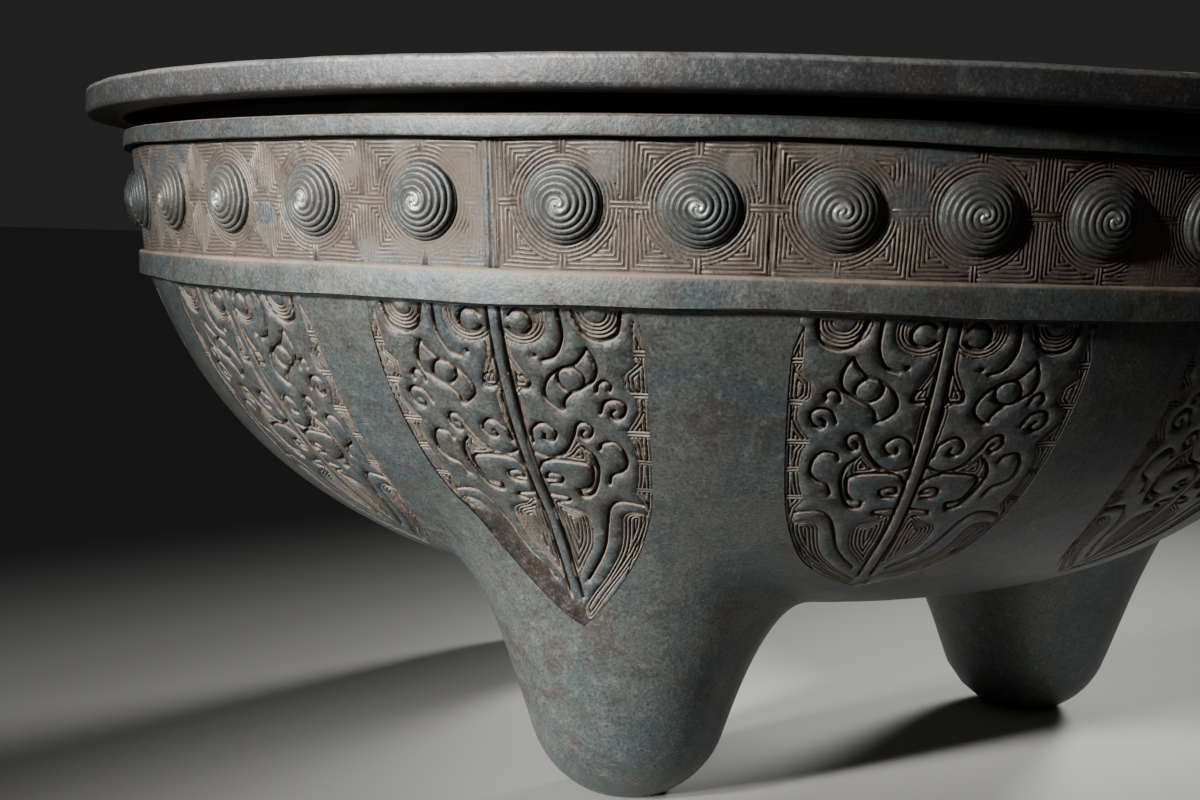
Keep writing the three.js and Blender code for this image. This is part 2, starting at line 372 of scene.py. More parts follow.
def foot_height(distance):
    """Height of a foot's skin at a distance from its axis: a round nose that turns into a cone."""
    cos = 1 / math.hypot(1, FOOT_SLOPE)
    sin = FOOT_SLOPE * cos
    nose_radius = (FOOT_FLOOR_RADIUS * cos - FOOT_NOSE_DEPTH * sin) / (1 - sin)
    nose = nose_radius - FOOT_NOSE_DEPTH - np.sqrt(np.maximum(nose_radius**2 - distance**2, 0))
    return np.where(distance < nose_radius * cos, nose, (distance - FOOT_FLOOR_RADIUS) / FOOT_SLOPE)


def blended(a, b, size):
    """The lower of two heights, rounded where they meet."""
    share = np.maximum(size - np.abs(a - b), 0) / size
    return np.minimum(a, b) - share**2 * size / 4


FOOT_AXES = [around(THIRD * i, FOOT_AXIS_RADIUS, 0)[:2] for i in range(3)]


def skin_height(x, y):
    """Height of the plain outer skin below the lower flange, with the feet flowing out of the bowl."""
    height = bowl_height(np.hypot(x, y), ARC_RADIUS)
    for axis in FOOT_AXES:
        height = blended(height, foot_height(np.hypot(x - axis[0], y - axis[1])), FOOT_BLEND)
    return height


def skin_point(azimuth, radius):
    flat = around(azimuth, radius, 0.0)
    return np.stack([flat[..., 0], flat[..., 1], skin_height(flat[..., 0], flat[..., 1])], axis=-1)


def skin_normal(points):
    """The way out of the lower skin, at points on it."""
    x, y = points[..., 0], points[..., 1]
    step = 0.25
    slope_x = (skin_height(x + step, y) - skin_height(x - step, y)) / (2 * step)
    slope_y = (skin_height(x, y + step) - skin_height(x, y - step)) / (2 * step)
    normal = np.stack([slope_x, slope_y, np.full_like(slope_x, -1)], axis=-1)
    return normal / np.linalg.norm(normal, axis=-1, keepdims=True)


def wall_waves(points):
    """How far the cast wall swells or sinks, at points on its skin."""
    return 0.35 * unevenness(points, 46, 1) + 0.16 * unevenness(points, 15, 2)


def drawn_to_feet(points):
    """Moves points in plan towards the steep sides of the feet, so that they lie evenly along the skin."""
    distances = np.arange(0, FOOT_REACH + 1, 1.0)
    level = bowl_height(FOOT_AXIS_RADIUS, ARC_RADIUS)
    heights = blended(level, foot_height(distances), FOOT_BLEND)
    lengths = running_total(np.hypot(1, np.diff(heights)))
    moved = points.copy()
    for axis in FOOT_AXES:
        offset = moved[:, :2] - axis
        distance = np.maximum(np.linalg.norm(offset, axis=1), 1e-6)
        near = distance < FOOT_REACH
        wanted = np.interp(distance[near] / FOOT_REACH * lengths[-1], lengths, distances)
        moved[near, :2] = axis + offset[near] * (wanted / distance[near])[:, None]
    return moved


def blade_placer(azimuth):
    """Places (across, down, lift) on the skin: from the blade's rib, down the wall and out of it."""
    radii = np.arange(WALL_RADIUS, 90, -0.5)
    meridian = skin_point(azimuth, radii)
    lengths = running_total(np.linalg.norm(np.diff(meridian, axis=0), axis=1))

    def place(across, down, lift):
        radius = np.interp(down, lengths, radii)
        angle = azimuth + np.degrees(across / radius)
        point = skin_point(angle, radius)
        return point + skin_normal(point) * (lift + wall_waves(point))[..., None]

    return place


# Body: rim, neck, flanges, wall, feet and the room inside


def softened(corners, steps=3):
    """A profile whose (radius, height, softness) corners are rounded by their softness."""
    points = []
    for i, (radius, height, softness) in enumerate(corners):
        here = np.array((radius, height), float)
        if not softness:
            points.append(here)
            continue
        before = np.array(corners[i - 1][:2], float) - here
        after = np.array(corners[i + 1][:2], float) - here
        start = here + before * softness / np.linalg.norm(before)
        end = here + after * softness / np.linalg.norm(after)
        for share in np.linspace(0, 1, steps + 1):
            points.append((1 - share) ** 2 * start + 2 * share * (1 - share) * here + share**2 * end)
    return points


def filled_in(points, longest):
    """A line with more points on its stretches that are longer than a length."""
    result = [points[0]]
    for point in points[1:]:
        stretch = np.subtract(point, result[-1])
        count = max(math.ceil(np.linalg.norm(stretch) / longest), 1)
        start = result[-1]
        result += [start + stretch * (i + 1) / count for i in range(count)]
    return result


def bowl_points(radii, arc_radius):
    return [(radius, float(bowl_height(radius, arc_radius))) for radius in radii]


def side_arc(start, end, arc_radius, rows):
    """Points of a bowl's side arc between two turns from straight down, in radians."""
    turns = np.linspace(start, end, rows)
    return [(ARC_OFFSET + arc_radius * math.sin(t), ARC_HEIGHT - arc_radius * math.cos(t)) for t in turns]


def upper_profile():
    """The outline from the lower flange's bottom edge, round the rim, to the corner behind the band."""
    band_back = 1.9
    return softened([
        (LOWER_FLANGE_RADIUS - 0.2, WALL_TOP, 0.7),
        (LOWER_FLANGE_RADIUS, BAND_BOTTOM, 1.5),
        (BAND_BOTTOM_RADIUS - band_back, BAND_BOTTOM, 0),
        (BAND_TOP_RADIUS - band_back, BAND_TOP, 0),
        (UPPER_FLANGE_RADIUS - 0.2, BAND_TOP, 0.7),
        (UPPER_FLANGE_RADIUS - 0.2, UPPER_FLANGE_TOP, 1.4),
        (NECK_RADIUS, UPPER_FLANGE_TOP, 1),
        (NECK_RADIUS, RIM_UNDERSIDE, 1),
        (RIM_RADIUS, RIM_UNDERSIDE, 2),
        (RIM_RADIUS, HEIGHT, 2.2),
        (MOUTH_RADIUS, HEIGHT, 2),
        (MOUTH_RADIUS, RIM_UNDERSIDE, 1),
        (NECK_RADIUS - 1, BAND_TOP, 4),
        (BAND_BOTTOM_RADIUS - WALL_THICKNESS, BAND_BOTTOM + 4, 0),
    ])


def vessel_profile():
    """The closed outline of the body from its bottom outside, round the rim, to its bottom inside."""
    bottom_rows, side_rows, inner_rows = 18, 62, 20
    longest = 6
    bottom_turn = math.radians(BOTTOM_ANGLE)
    wall_turn = math.asin((WALL_RADIUS - ARC_OFFSET) / ARC_RADIUS)
    join_radius = ARC_OFFSET + ARC_RADIUS * math.sin(bottom_turn)
    inner_arc = ARC_RADIUS - WALL_THICKNESS
    bottom = bowl_points(np.linspace(0, join_radius, bottom_rows)[:-1], ARC_RADIUS)
    side = side_arc(bottom_turn, wall_turn, ARC_RADIUS, side_rows)
    upper = filled_in([side[-1], *upper_profile()], longest)
    inner = side_arc(math.radians(INNER_ARC_END), bottom_turn, inner_arc, inner_rows)
    return [*bottom, *side[:-1], *upper, *inner, *bowl_points((90, 60, 30, 0), inner_arc)]


def flange_shift(points):
    """How far the flanges' edges wander up or down round the vessel, at points of the body."""
    radius = np.hypot(points[:, 0], points[:, 1])
    height = points[:, 2]
    circle = around(azimuth_of(points), EDGE_CIRCLE, 0.0)
    waves = 1.0 * unevenness(circle, 40, 5) + 0.4 * unevenness(circle, 13, 6)
    lower = np.exp(-(((height - WALL_TOP) / 7) ** 2))
    upper = np.exp(-(((height - BAND_TOP) / 6) ** 2)) * (height > BAND_TOP - 1)
    return waves * (lower + 0.8 * upper) * (radius > BAND_BOTTOM_RADIUS - 2.5)


def make_body():
    body = outline_of("vessel_body", vessel_profile())
    ground = {"plane_co": (0, 0, 0), "plane_no": (0, 0, 1), "threshold": 1e-7}

    def spin():
        bpy.ops.mesh.spin(steps=BODY_COLUMNS, angle=math.tau, center=(0, 0, 0), axis=(0, 0, 1))
        bpy.ops.mesh.select_all(action="SELECT")
        bpy.ops.mesh.remove_doubles(threshold=0.01 * MM)
        bpy.ops.mesh.normals_make_consistent(inside=False)

    in_edit_mode(body, spin)
    shape_body(body)
    in_edit_mode(body, lambda: bpy.ops.mesh.bisect(use_fill=True, clear_inner=True, **ground))
    return body


def shape_body(body):
    """Draws the feet out of the lower skin, and gives the casting its unevenness."""
    points = points_of(body)
    radius = np.hypot(points[:, 0], points[:, 1])
    lower = np.abs(points[:, 2] - bowl_height(radius, ARC_RADIUS)) < 0.5
    lower &= points[:, 2] < WALL_TOP + 0.1
    skin = drawn_to_feet(points[lower])
    skin[:, 2] = skin_height(skin[:, 0], skin[:, 1])
    points[lower] = skin + skin_normal(skin) * wall_waves(skin)[:, None]
    upper = ~lower
    height = points[upper, 2].copy()
    points[upper, 2] += flange_shift(points[upper])
    dip = -np.abs(0.35 * unevenness(points[upper], 38, 8) + 0.15 * unevenness(points[upper], 9, 9))
    points[upper, :2] *= (1 + dip / radius[upper].clip(1))[:, None]
    points[upper, 2] += np.where(height > HEIGHT - 4, dip, 0)
    move_points(body, points)


def mark_body(body):
    """Says where the body is dusty, where painted shade darkens its neck and the strips under its flanges,
    where it is rubbed bright and where its patina is warmer.
    """
    points = points_of(body)
    radius = np.hypot(points[:, 0], points[:, 1])
    height = points[:, 2] - flange_shift(points)
    outside = radius > NECK_RADIUS - 1
    circle = around(azimuth_of(points), EDGE_CIRCLE, 0.0)
    patchy = np.clip(0.9 + 0.45 * unevenness(circle, 16, 41), 0, 1)
    dust = 0.44 * patchy * np.exp(-(((height - BAND_BOTTOM - 0.1) / 1.5) ** 2))
    # Painted shade: the neck under the rim and thin strips under both flanges, where shade falls, get a
    # recess value of 0.9, which the finish turns into its darkest grime colour.
    neck = (height > UPPER_FLANGE_TOP - 0.5) & (height < RIM_UNDERSIDE + 0.5) & (radius < UPPER_FLANGE_RADIUS)
    under_upper = (np.abs(height - BAND_TOP) < 0.5) & (radius < UPPER_FLANGE_RADIUS - 0.6)
    under_lower = (np.abs(height - WALL_TOP) < 0.7) & (radius < LOWER_FLANGE_RADIUS - 0.6)
    under_lower &= radius > WALL_RADIUS + 0.6
    grime_and_shade = 0.9 * (neck | under_upper | under_lower)
    set_mask(body, "recess", np.maximum(dust, grime_and_shade) * outside)
    top_edge = smoothstep(HEIGHT - 2.4, HEIGHT - 0.4, height)
    outer_edge = smoothstep(RIM_RADIUS - 5, RIM_RADIUS - 1.5, radius)
    set_mask(body, "wear", top_edge * outer_edge * (0.55 + 0.5 * unevenness(circle, 9, 42)))
    rim = smoothstep(UPPER_FLANGE_TOP - 8, RIM_UNDERSIDE, height) * outside
    set_mask(body, "second_patina", np.where(height > BAND_BOTTOM + 5, rim, 0))


def make_chip():
    """A small slit chipped out of the wall, as a closed wedge that is cut away from it."""
    azimuth = -15.9
    radius = 247.3
    half_length = 3.2
    half_depth = 1.1
    spot = skin_point(azimuth, np.array([radius]))[0]
    way = skin_normal(spot)
    bpy.ops.mesh.primitive_uv_sphere_add(segments=12, ring_count=8, radius=1 * MM)
    chip = bpy.context.object
    chip.name = "chip"
    points = points_of(chip)
    sideways = around(azimuth + 90, 1.0, 0.0)
    upward = np.cross(way, sideways)
    slim = np.interp(points[:, 0], (-1, 0.6, 1), (0.25, 0.75, 1))
    placed = spot + np.outer(points[:, 0] * half_length, sideways)
    placed += np.outer(points[:, 1] * slim, upward)
    placed += np.outer(points[:, 2] * half_depth, way)
    move_points(chip, placed)
    in_edit_mode(chip, lambda: bpy.ops.mesh.normals_make_consistent(inside=False))
    return chip


# Boss band


def ridges(distance, pitch):
    """Fine parallel ridges with narrower grooves between them, 1 on a crest and 0 in a groove."""
    wave = 0.5 - 0.5 * np.cos(distance / pitch * math.tau)
    return smoothstep(0.03, 0.62, wave)


def cell_relief(x, y, half_width):
    """The lines of one cell's ground round its boss, from 0 in the grooves to 1 on the ridges."""
    under_boss = 0.3
    boss_overlap = 1.2
    circles_end = BOSS_RADIUS + CIRCLES * LINE_PITCH
    distance = np.hypot(x, y)
    x, y = np.abs(x), np.abs(y)
    to_edge = np.min([half_width - x, CELL_HALF_HEIGHT - y, x, y], axis=0)
    lines = np.where(distance < circles_end, circles_end - distance, to_edge)
    tick = (x < LINE_PITCH) & (y > circles_end - 2 * LINE_PITCH)
    bar = (y < LINE_PITCH) & (x > circles_end - 2 * LINE_PITCH)
    lines = np.where(tick, x, lines)
    lines = np.where(bar, y, lines)
    return np.where(distance < BOSS_RADIUS - boss_overlap, under_boss, ridges(lines, LINE_PITCH))


def band_lift(run, azimuth, up):
    """How far the band's ground stands out of its cone, by azimuth and height over the band's middle."""
    across = np.radians(azimuth) * BAND_MIDDLE_RADIUS
    flat = sheet_points(across, up)
    wobble_x = 0.3 * unevenness(flat, 9, 11)
    wobble_y = 0.3 * unevenness(flat, 9, 12)
    half_width = math.radians(run["pitch"] / 2) * BAND_MIDDLE_RADIUS
    index = np.clip(np.round((azimuth - run["first"]) / run["pitch"]), 0, run["count"] - 1)
    x = across - np.radians(run["first"] + run["pitch"] * index) * BAND_MIDDLE_RADIUS
    lines = cell_relief(np.clip(x + wobble_x, -half_width, half_width), up + wobble_y, half_width)
    beyond = np.abs(x) > half_width
    lines = np.where(beyond, ridges(np.abs(x) - half_width + wobble_x, LINE_PITCH), lines)
    worn = band_worn(run, azimuth, up)
    lift = -LINE_DEPTH * (1 - lines) * (1 - 0.85 * worn) - 0.15 * worn
    lift += 0.25 * unevenness(flat, 30, 16)
    return lift + mould_seam(azimuth, flat) + crack(run, azimuth, flat)


def across_from_seam(azimuth, flat):
    """Distance from the joint of the casting mould, which runs down each third of the band."""
    return np.radians(azimuth - SEAM_AZIMUTH) * BAND_MIDDLE_RADIUS + 0.4 * unevenness(flat, 11, 17)


def mould_seam(azimuth, flat):
    """The low, smooth fin that the casting mould's joint left across the band."""
    return 0.7 * np.exp(-((across_from_seam(azimuth, flat) / 1.1) ** 2))


def band_worn(run, azimuth, up):
    """Where the band's lines are rubbed away: in a few spots, in clouds and along the mould's seam."""
    across = np.radians(azimuth) * BAND_MIDDLE_RADIUS
    flat = sheet_points(across, up)
    uneven = 2.5 * unevenness(flat, 7, 14)
    worn = smoothstep(0.3, 0.6, unevenness(flat, 24, 13) + 0.4 * unevenness(flat, 8, 15))
    for spot_azimuth, spot_up, size in run["worn"]:
        away = np.hypot(across - math.radians(spot_azimuth) * BAND_MIDDLE_RADIUS, up - spot_up) + uneven
        worn = np.maximum(worn, smoothstep(size, 0.5 * size, away))
    return np.maximum(worn, np.exp(-((across_from_seam(azimuth, flat) / 1.8) ** 2)))


def crack(run, azimuth, flat):
    """A rough crack down the band, between two cells."""
    away = np.radians(azimuth - run["crack"]) * BAND_MIDDLE_RADIUS + 1.1 * unevenness(flat, 6, 18)
    rough = 0.6 + 0.4 * unevenness(flat, 3, 19)
    return -1.1 * rough * np.exp(-((away / 0.7) ** 2)) + 0.35 * np.exp(-(((away - 1.3) / 0.9) ** 2))


def band_point(azimuth, up, lift):
    """A point of the band by azimuth, height over its middle along the slope, and lift out of it."""
    radius = BAND_MIDDLE_RADIUS + up * math.sin(BAND_LEAN) + lift * math.cos(BAND_LEAN)
    height = BAND_MIDDLE_HEIGHT + up * math.cos(BAND_LEAN) - lift * math.sin(BAND_LEAN)
    return around(azimuth, radius, height)


def make_ground(run):
    """The ground of one third of the band, as a closed shell."""
    back = -2.6
    overlap = 0.6
    length = math.radians(THIRD) * BAND_MIDDLE_RADIUS
    reach = CELL_HALF_HEIGHT + overlap
    ground = flat_grid("ground", (0, -reach), (length, reach), GROUND_STEP)
    apply_modifier(ground, "SOLIDIFY", thickness=1 * MM, offset=-1)
    points = points_of(ground)
    azimuth = BAND_START + np.degrees(points[:, 0] / BAND_MIDDLE_RADIUS)
    up = points[:, 1]
    front = points[:, 2] > -0.5
    lift = np.where(front, band_lift(run, azimuth, up), back)
    move_points(ground, band_point(azimuth, up, lift))
    thin_out(ground, GROUND_TRIANGLES)
    return ground


def band_lift_of(points):
    """The lift over the band's plain cone of points on it."""
    radius = np.hypot(points[:, 0], points[:, 1]) - BAND_MIDDLE_RADIUS
    height = points[:, 2] - BAND_MIDDLE_HEIGHT
    return radius * math.cos(BAND_LEAN) - height * math.sin(BAND_LEAN)


def dome_line():
    """Radii and heights along a boss's plain form, from its top, with the distances along its surface."""
    radii = np.linspace(0, BOSS_RADIUS, 200)
    heights = BOSS_HEIGHT * (1 - (radii / BOSS_RADIUS) ** 2) ** BOSS_ROUNDNESS
    lengths = running_total(np.hypot(np.diff(radii), np.diff(heights)))
    return radii, heights, lengths


def make_boss():
    """One whorl boss on the XY plane: rows of points follow its two round spiral cords."""
    columns = 52
    rows_per_cord = 6
    cord_roundness = 0.75
    root = 2
    radii, heights, lengths = dome_line()
    rows = math.ceil((lengths[-1] / WHORL_PITCH + WHORL_ARMS) * rows_per_cord)
    boss = flat_grid("boss", (0, 0), (columns, rows), 1)
    points = points_of(boss)
    turn = points[:, 0] / columns
    along = points[:, 1] / rows_per_cord + WHORL_ARMS * (turn - 1)
    length = np.clip(along * WHORL_PITCH, 0, lengths[-1])
    lean = np.arctan(np.interp(length, lengths, np.gradient(heights, radii)))
    cord = np.abs(np.sin(points[:, 1] / rows_per_cord * math.pi)) ** cord_roundness
    sink = WHORL_DEPTH * (1 - cord) * smoothstep(0.0, 0.35, along)
    base = length >= lengths[-1]
    sink[base] = 0
    radius = np.interp(length, lengths, radii) + np.sin(lean) * sink
    height = np.interp(length, lengths, heights) - np.cos(lean) * sink
    height[base] = -0.5
    angle = turn * math.tau
    move_points(boss, np.stack([radius * np.cos(angle), radius * np.sin(angle), height], axis=-1))
    # Grooves between the cords get earth and then dark grime, which is partly painted shade.
    set_mask(boss, "recess", (sink - 0.2) / (WHORL_DEPTH * 0.7))

    def close():
        bpy.ops.mesh.remove_doubles(threshold=0.02 * MM)
        bpy.ops.mesh.dissolve_degenerate(threshold=0.01 * MM)
        bpy.ops.mesh.select_all(action="DESELECT")
        bpy.ops.mesh.select_non_manifold()
        bpy.ops.mesh.extrude_region_move(TRANSFORM_OT_translate={"value": (0, 0, -root * MM)})
        bpy.ops.mesh.edge_face_add()
        bpy.ops.mesh.select_all(action="SELECT")
        bpy.ops.mesh.normals_make_consistent(inside=False)

    in_edit_mode(boss, close)
    return boss


def placed_boss(boss, azimuth, seed):
    """A copy of the boss on the band, turned by its own angle and worn in its own way."""
    copy = copy_of(boss, f"boss_{seed}")
    points = points_of(copy)
    turn_step = 2.4
    turn = seed * turn_step
    x = points[:, 0] * math.cos(turn) - points[:, 1] * math.sin(turn)
    y = points[:, 0] * math.sin(turn) + points[:, 1] * math.cos(turn)
    flat = np.stack([x + 50 * seed, y, points[:, 2]], axis=-1)
    uneven = 1 + 0.025 * unevenness(flat, 9, 21)
    lift = points[:, 2] + np.where(points[:, 2] > 0, 0.22 * unevenness(flat, 4, 22), 0)
    middle = band_point(azimuth, 0.0, 0.0)
    outward = band_point(azimuth, 0.0, 1.0) - middle
    upward = band_point(azimuth, 1.0, 0.0) - middle
    sideways = np.cross(upward, outward)
    placed = middle + np.outer(x * uneven, sideways) + np.outer(y * uneven, upward)
    move_points(copy, placed + np.outer(lift, outward))
    share = np.hypot(x, y) / BOSS_RADIUS
    brightness = cell_value(np.array([[seed, 7, 3]]), 24)[0]
    worn = smoothstep(0.26, 0.1, share + 0.09 * unevenness(flat, 2.5, 23))
    set_mask(copy, "wear", worn * (0.6 + 0.4 * brightness))
    return copy


def placed_ground(run, ground, third):
    """A copy of a third's ground, turned to its place and marked where it is sunk, where painted shade lies
    under the upper flange and where it is worn.
    """
    piece = copy_of(ground, f"band_ground_{third + 1}")
    points = points_of(piece)
    azimuth = azimuth_of(points) % 360
    up = (points[:, 2] - BAND_MIDDLE_HEIGHT) / math.cos(BAND_LEAN)
    # The deeper a line's groove, the more earth and then dark grime it gets, which is partly painted shade.
    hollow = (-band_lift_of(points) - 0.12) / (LINE_DEPTH * 0.75)
    # Painted shade: the strip just under the upper flange gets the full recess value, so the finish paints it
    # dark.
    hollow = np.where(up > CELL_HALF_HEIGHT - 0.9, 1, hollow)
    move_points(piece, around(azimuth + THIRD * third, np.hypot(points[:, 0], points[:, 1]), points[:, 2]))
    set_mask(piece, "recess", hollow)
    set_mask(piece, "second_patina", band_worn(run, azimuth, up))
    return piece


def make_band():
    front = make_ground(FRONT_RUN)
    left = make_ground(LEFT_RUN)
    boss = make_boss()
    seeds_per_third = 14
    pieces = []
    for third, (run, ground) in enumerate([(FRONT_RUN, front), (FRONT_RUN, front), (LEFT_RUN, left)]):
        pieces.append(placed_ground(run, ground, third))
        azimuths = [THIRD * third + run["first"] + run["pitch"] * i for i in range(run["count"])]
        seeds = range(seeds_per_third * third, seeds_per_third * third + run["count"])
        bosses = [placed_boss(boss, azimuth, seed) for azimuth, seed in zip(azimuths, seeds)]
        pieces.append(joined(bosses, f"whorl_bosses_{third + 1}"))
    for made in (front, left, boss):
        bpy.data.objects.remove(made)
    return pieces


# Hanging blades


def curve_through(points, closed=False):
    """A smooth line through a few points, with CURVE_STEPS points for each of its stretches."""
    points = np.array(points, float)
    if closed:
        padded = np.concatenate([points[-1:], points, points[:2]])
    else:
        padded = np.concatenate([[2 * points[0] - points[1]], points, [2 * points[-1] - points[-2]]])
    line = []
    for a, b, c, d in zip(padded[:-3], padded[1:-2], padded[2:-1], padded[3:]):
        square = 2 * a - 5 * b + 4 * c - d
        cube = 3 * b - a - 3 * c + d
        for t in np.arange(CURVE_STEPS) / CURVE_STEPS:
            line.append(0.5 * (2 * b + (c - a) * t + square * t**2 + cube * t**3))
    if not closed:
        line.append(points[-1])
    return np.array(line)


def arc(centre, radius, start, end, count):
    """Points on an arc; its angles grow from the rib's right towards the ground."""
    angles = np.radians(np.linspace(start, end, count))
    return np.stack([centre[0] + radius * np.cos(angles), centre[1] + radius * np.sin(angles)], axis=-1)


def distance_to_line(x, y, line, closed=False):
    """Distance of each point from a line of points."""
    if closed:
        line = np.concatenate([line, line[:1]])
    nearest = np.full(len(x), 1e9)
    for (ax, ay), (bx, by) in zip(line[:-1], line[1:]):
        dx, dy = bx - ax, by - ay
        share = np.clip(((x - ax) * dx + (y - ay) * dy) / max(dx * dx + dy * dy, 1e-9), 0, 1)
        nearest = np.minimum(nearest, (x - ax - share * dx) ** 2 + (y - ay - share * dy) ** 2)
    return np.sqrt(nearest)


def inside_line(x, y, line):
    """Which points lie inside a closed line."""
    inside = np.zeros(len(x), bool)
    for (ax, ay), (bx, by) in zip(line, np.roll(line, -1, axis=0)):
        crosses = (ay > y) != (by > y)
        if crosses.any():
            inside ^= crosses & (x < (bx - ax) * (y - ay) / (by - ay + 1e-12) + ax)
    return inside


# Half of a blade's outline, as points (from the rib, down the wall)
BLADE_EDGE = [
    (49.4, BLADE_TOP), (50.3, 15.4), (48.8, 34.9), (44.8, 61.5), (40.5, 82), (35.6, 97.5), (28, 115.5),
    (18.5, 128.4), (6.8, 139.2), (0, 144.5),
]

# Cut lines of half a blade
BLADE_CUTS = [
    [(22.7, 1.5), (23.2, 10.2), (21.7, 15.5), (18.9, 19.4), (15.1, 20.8)],
    [(27.3, 2.5), (30.8, 10.5), (35.9, 12.6), (41.7, 10.2), (43.6, 2.5)],
    [(30.6, 15.6), (28.9, 18.3), (25.2, 22.2), (20.2, 24.1), (15.6, 27.8), (13.1, 32.3), (13.1, 35.5),
     (14.7, 37.9), (18.5, 40.3), (19.6, 36.9), (22, 33.9), (26.7, 31.1), (31.2, 27.8), (32.9, 23.8),
     (32.5, 19.5), (31.3, 16.5)],
    [(31.8, 31.9), (32.7, 29.1), (35.3, 27.5), (37.1, 29.3), (36.4, 31.3)],
    [(31.6, 40.7), (33.8, 36.1), (37.9, 34.8), (40.6, 36.8), (39.5, 41.1), (36.3, 43.2), (35, 40.9),
     (36.7, 39.1)],
    [(3.9, 55.5), (4.9, 49.8), (9.8, 46.5), (13.8, 50.1), (11.6, 54.4), (8.9, 53.6), (9.4, 51.4)],
    [(3.4, 60), (7.4, 62), (12.2, 60.9), (16, 57.6), (19.7, 51.4), (21.4, 47), (24, 45), (26.6, 46.3),
     (26.5, 49.9), (23.7, 52.6), (22.4, 50.7), (23.9, 48.7)],
    [(2.9, 68.6), (5.2, 64.8), (11.8, 63.2), (21.9, 64.5), (22.4, 70.5), (19.7, 76.4), (14.8, 78)],
    [(14.8, 78.2), (15.7, 82), (20, 80), (23.4, 73.6), (25.2, 66.3), (24.6, 59.4), (21.9, 55.8)],
    [(7, 73.4), (4.2, 73.6), (5.9, 70.3), (10.2, 71.5), (9.2, 75.2), (5.1, 75.9)],
    [(27.8, 56.8), (29.1, 54.2), (33.6, 53.3), (36, 56.9), (36, 63.2), (33.3, 67), (29.2, 69.4),
     (27.3, 74.2)],
    [(3.4, 81.8), (9.3, 82.8), (9.4, 84.9), (5.3, 85.9)],
    [(36.2, 84.9), (32.9, 83.8), (27.7, 83.8), (23.5, 88.9), (20.5, 97.2), (16.8, 108), (12.7, 115.7),
     (6.6, 123.9)],
]

# Arcs cut into half a blade: width of the cut, centre, radius, first and last angle and number of points
CUT_ARCS = [
    (CUT_WIDTH, (23.4, 27.6), 4.6, 0, 360, 20),
    (CUT_WIDTH, (8.8, 7), 4.3, -150, 150, 14),
    (1.1, (6.1, 29.9), 2.6, -90, 180, 14),
    (1.6, (12.4, 19), 0.5, 0, 300, 5),
]
RIB_SIDE = [(2.3, 0), (2.3, 132)]
RIB_CUT = 1.7

# Parts of rings filled with nested arcs: centre, inner and outer radius, first and last angle
NESTED_ARCS = [((35.3, 2.5), 3.4, 9.4, 0, 180), ((9.5, 5.5), 5.2, 9.3, -20, 150)]

# Sunk zones of half a blade, each filled with fine lines that repeat its outline
BORDER_INSIDE = [
    (36.6, 89.5), (36.8, 82.3), (35.2, 77.6), (38, 70.1), (40.2, 61.9), (40.8, 53.5), (38.8, 48.3),
    (42.5, 43.4), (44.8, 39.5), (45.3, 34.5), (41.8, 30.5), (42.3, 24.5), (47, 20.4), (46.2, 18.5),
    (46.6, 12), (47.4, 4.6),
]
BORDER_BARS = (17, 33, 49, 62, 76)
FEATHER = [
    (27, 93.5), (29.5, 90.4), (33.5, 89.6), (36.6, 91.8), (34.3, 101), (30.8, 108.5), (25.5, 117),
    (18.5, 125.5), (11, 133.2), (3.2, 141), (2.2, 136.5), (6.3, 131.2), (12.8, 124.4), (20.2, 114),
    (23.7, 105.5), (25.8, 98),
]
HEAD_FILL = [
    (20.9, 53.4), (16.6, 58.8), (12.2, 61.9), (17.5, 63), (22, 63.2), (22.6, 58.5),
]
FOOT_FILL = [
    (2.6, 86.8), (8.5, 88.3), (14.2, 91.7), (14.9, 97.5), (12.3, 107.5), (8.2, 114.5), (4.4, 120.5),
    (2.4, 121.5),
]
BELL_FILL = [
    (1.9, 9), (3.6, 12.5), (4.3, 19), (6.6, 24.5), (9, 29), (8.6, 32.4), (5, 33), (1.9, 33),
]
CHANNEL_FILL = [
    (1.9, 34), (4.4, 35), (4.2, 45), (3.6, 54), (3.4, 60), (1.9, 61),
]
TEARDROP_FILL = [
    (15.6, 79.2), (16.6, 81), (19.8, 78.8), (22.6, 73.2), (24, 66.3), (23.4, 62), (23.2, 70.5), (20.4, 77),
]


def edge_line(spread=0.0):
    """The blade's whole outline, clockwise from its upper right, grown by a spread."""
    half = curve_through(BLADE_EDGE)
    line = np.concatenate([half, (half * (-1, 1))[::-1][1:]])
    centre = np.array((0, 60))
    offset = line - centre
    return centre + offset * (1 + spread / np.linalg.norm(offset, axis=1, keepdims=True))


def near_line(x, y, line, reach):
    """Which points lie in a line's box, grown by a reach."""
    low, high = line.min(axis=0) - reach, line.max(axis=0) + reach
    return (x > low[0]) & (x < high[0]) & (y > low[1]) & (y < high[1])


def fine_lines(distance):
    """The lift of a sunk ground with fine lines on it, by the distance across them."""
    return -GROUND_DEPTH + (GROUND_DEPTH - CREST_DEPTH) * ridges(distance, FINE_PITCH)


def sunk_fill(x, y, lift, zone, bars_at=()):
    """Sinks a zone and fills it with fine lines that repeat its outline, and with pairs of bars across it."""
    near = near_line(x, y, zone, 3.0)
    distance = distance_to_line(x[near], y[near], zone, closed=True)
    signed = np.where(inside_line(x[near], y[near], zone), distance, -distance)
    bars = np.min([np.abs(y[near] - down) for down in bars_at], axis=0) if bars_at else signed
    ground = fine_lines(np.where(np.abs(bars) < FINE_PITCH, bars, signed))
    lift[near] = np.minimum(lift[near], ground * smoothstep(-0.3, 0.2, signed))


